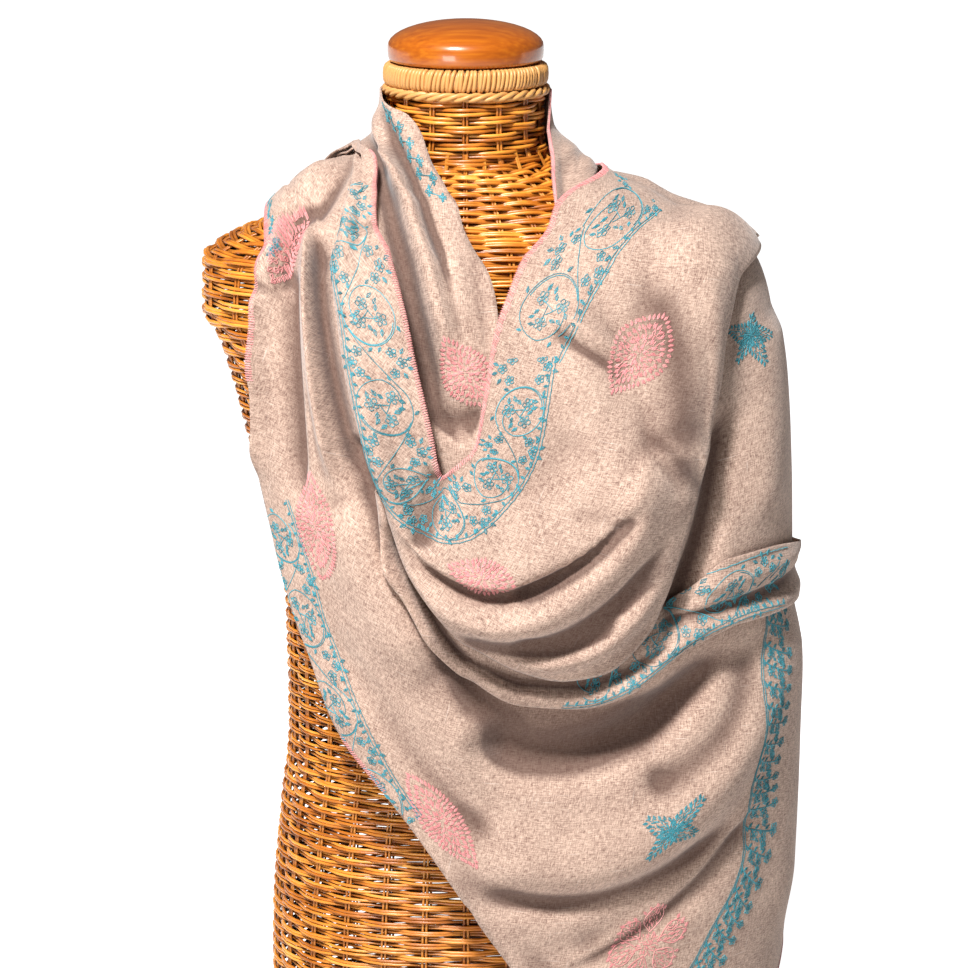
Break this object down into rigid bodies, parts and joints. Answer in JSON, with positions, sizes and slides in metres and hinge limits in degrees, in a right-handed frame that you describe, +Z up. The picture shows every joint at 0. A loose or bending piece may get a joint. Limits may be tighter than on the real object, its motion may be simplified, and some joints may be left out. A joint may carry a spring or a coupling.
{
  "type": "pashmina shawl on a limbless wicker dress form",
  "caption": "Woven wool shawl with an embroidered border, wound in a loose cowl round the shoulders of a limbless wicker dress form with a turned wooden neck cap.",
  "frame": {"origin": "centre of the form's base board, on the surface that it stands on", "axes": "+Z up, +X to the right as the form is faced, +Y away from the viewer, towards the form's back"},
  "size_m": [0.4316, 0.3309, 0.8096],
  "materials": {
    "wicker": "satin",
    "varnished_wood": "gloss",
    "base_wood": "satin",
    "shawl_left_fall_cloth": "matte",
    "shawl_right_fall_cloth": "matte",
    "shawl_lower_roll_cloth": "matte",
    "shawl_cowl_cloth": "matte",
    "shawl_back_wrap_cloth": "matte",
    "shawl_back_fall_cloth": "matte",
    "shawl_neck_drape_cloth": "matte"
  },
  "bodies": {
    "root": {"form_torso": "wicker", "form_base": "base_wood", "form_neck_rim": "wicker", "form_neck_cap": "varnished_wood", "shawl_left_fall": "shawl_left_fall_cloth", "shawl_right_fall": "shawl_right_fall_cloth", "shawl_lower_roll": "shawl_lower_roll_cloth", "shawl_cowl": "shawl_cowl_cloth", "shawl_back_wrap": "shawl_back_wrap_cloth", "shawl_back_fall": "shawl_back_fall_cloth", "shawl_neck_drape": "shawl_neck_drape_cloth"}
  },
  "joints": []
}
